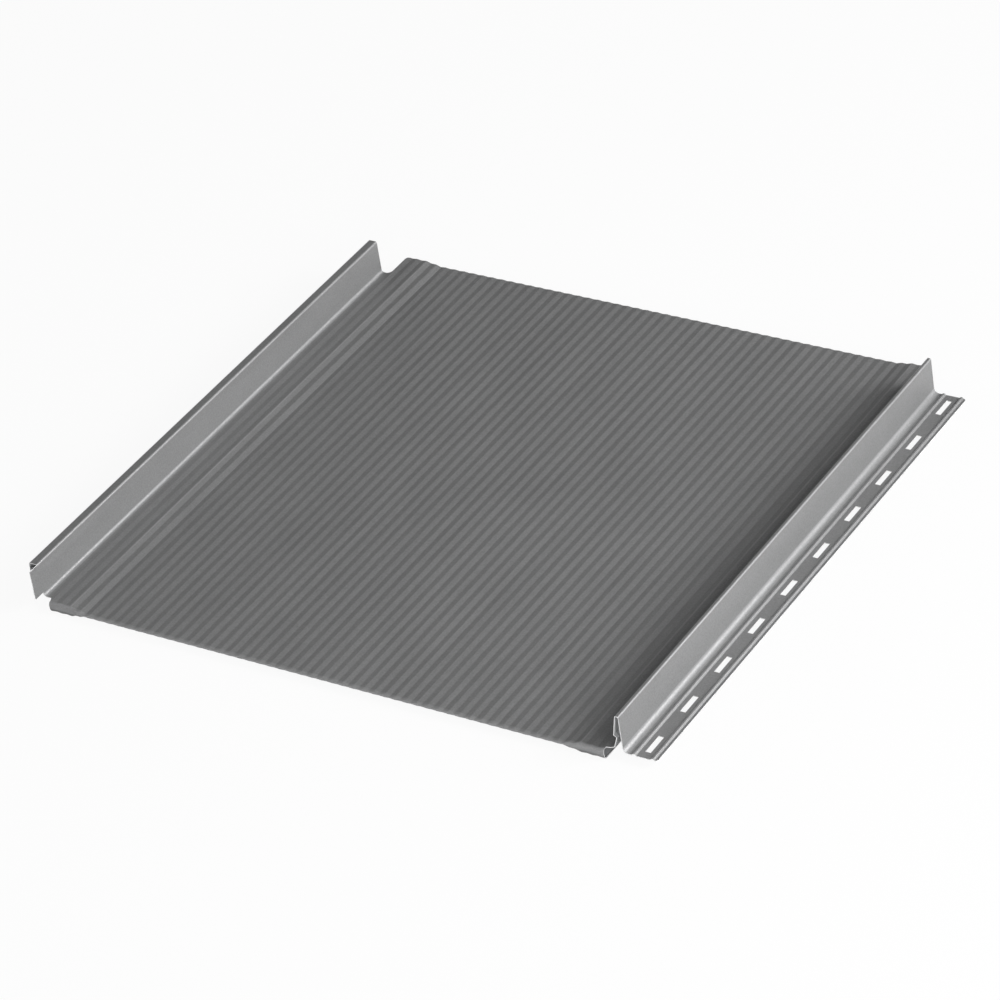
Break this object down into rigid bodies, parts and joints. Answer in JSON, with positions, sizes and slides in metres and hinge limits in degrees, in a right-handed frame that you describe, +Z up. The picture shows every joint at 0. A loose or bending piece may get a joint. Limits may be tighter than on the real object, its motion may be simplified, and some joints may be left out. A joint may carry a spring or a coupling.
{
  "type": "standing seam roof panel",
  "caption": "Snap-lock standing seam roof panel in coated sheet steel: covering seam, finely waved pan, folded eaves edge and slotted screw flange.",
  "frame": {"origin": "middle of the panel's outline in plan, at the level of its lowest point, the underside of the folded eaves edge", "axes": "+X across the panel from the covering seam to the screw flange, +Y along the seams from the folded eaves edge to the ridge end, +Z up out of the weather face"},
  "size_m": [0.5516, 0.5196, 0.0388],
  "materials": {
    "coated_steel": "grey colour-coated steel, low sheen"
  },
  "bodies": {
    "root": {"roof_panel": "coated_steel"}
  },
  "joints": []
}
